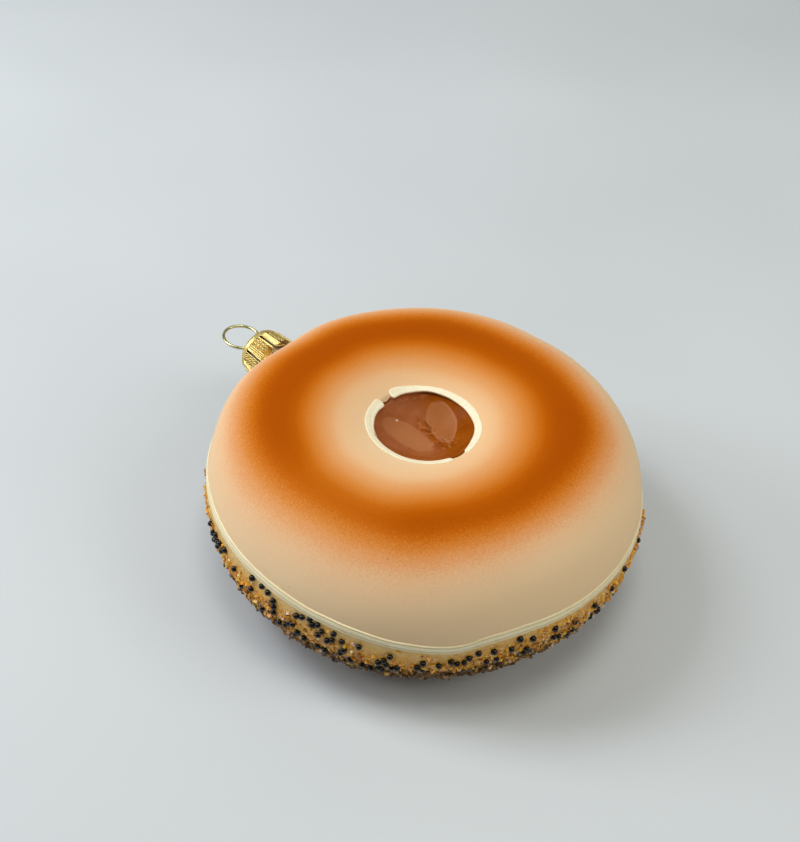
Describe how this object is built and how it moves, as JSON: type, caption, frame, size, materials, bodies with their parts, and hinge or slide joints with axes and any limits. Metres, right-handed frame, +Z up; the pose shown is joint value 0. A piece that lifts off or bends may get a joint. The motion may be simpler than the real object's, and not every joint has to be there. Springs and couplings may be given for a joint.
{
  "type": "bagel-shaped glass ornament",
  "caption": "Hanging ornament of blown glass shaped like a toasted bagel: painted top with a brown centre dimple, seeded grit coat below, gold cap and wire loop.",
  "frame": {"origin": "under the middle of the whole part's bounding box, on the surface that the ornament lies on", "axes": "+Z up through the bagel's centre dimple, +Y along the neck, cap and wire loop, +X to the right of the loop seen from above"},
  "size_m": [0.0913, 0.1134, 0.0371],
  "materials": {
    "painted_glass": "satin",
    "cream_paint": "gloss",
    "brown_lacquer": "gloss",
    "glue_coat": "satin",
    "amber_grit": "gloss",
    "pale_grit": "gloss",
    "black_beads": "gloss",
    "gold_cap": "polished",
    "gold_wire": "polished"
  },
  "bodies": {
    "root": {"glass_body": "painted_glass", "cap": "gold_cap", "hanger": "gold_wire"}
  },
  "joints": []
}
